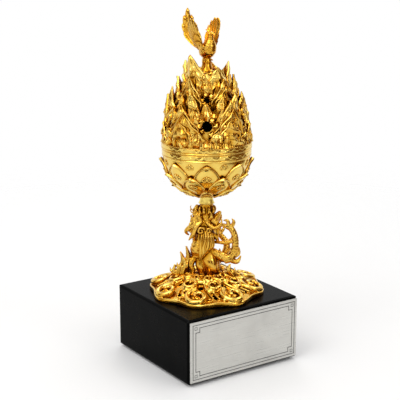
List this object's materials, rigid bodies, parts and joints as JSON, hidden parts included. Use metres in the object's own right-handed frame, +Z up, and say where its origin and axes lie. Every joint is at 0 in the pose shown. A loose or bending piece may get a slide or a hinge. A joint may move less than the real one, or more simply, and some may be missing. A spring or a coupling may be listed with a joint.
{
  "type": "hill censer",
  "caption": "Gilt hill censer on a black plinth: lotus-petal bowl on a dragon stem and pierced wave foot, with a lift-off mountain lid and bird finial.",
  "frame": {"origin": "centre of the underside, on the table", "axes": "+Z up along the censer's axis, -Y towards the plinth face that carries the plate"},
  "size_m": [0.07, 0.0709, 0.1866],
  "materials": {
    "gilt_bronze": "polished gold plate, dark in the recesses",
    "steel": "plain zinc-plated steel",
    "black_wood": "satin black lacquer",
    "plate_metal": "satin silver with a dark printed border",
    "tape": "double-sided adhesive tape",
    "felt": "short wool felt"
  },
  "bodies": {
    "base": {"foot": "gilt_bronze", "foot_scrolls": "gilt_bronze", "foot_flames": "gilt_bronze", "dragon_body": "gilt_bronze", "dragon_head": "gilt_bronze", "dragon_mane": "gilt_bronze", "dragon_raised_leg": "gilt_bronze", "dragon_standing_legs": "gilt_bronze", "dragon_tail": "gilt_bronze", "neck_tube": "gilt_bronze", "bowl": "gilt_bronze", "petals_lower": "gilt_bronze", "petals_middle": "gilt_bronze", "petals_upper": "gilt_bronze", "plinth_washer": "steel", "plinth_screw": "steel", "bowl_washer": "steel", "bowl_bolt": "steel", "base_felt": "felt", "plinth": "black_wood", "plate_tape": "tape", "name_plate": "plate_metal"},
    "lid": {"lid_dome": "gilt_bronze", "lid_collar": "gilt_bronze", "peaks_tier_1": "gilt_bronze", "peaks_tier_2": "gilt_bronze", "peaks_tier_3": "gilt_bronze", "peaks_tier_4": "gilt_bronze", "peaks_tier_5": "gilt_bronze", "finial_nut": "steel", "finial_pedestal": "gilt_bronze", "bird_body": "gilt_bronze", "bird_wing_left": "gilt_bronze", "bird_wing_right": "gilt_bronze", "bird_tail": "gilt_bronze"}
  },
  "joints": [
    {"name": "lid_lift", "type": "slide", "parent": "base", "child": "lid", "axis": [0, 0, 1], "range_m": [0, 0.08]}
  ]
}
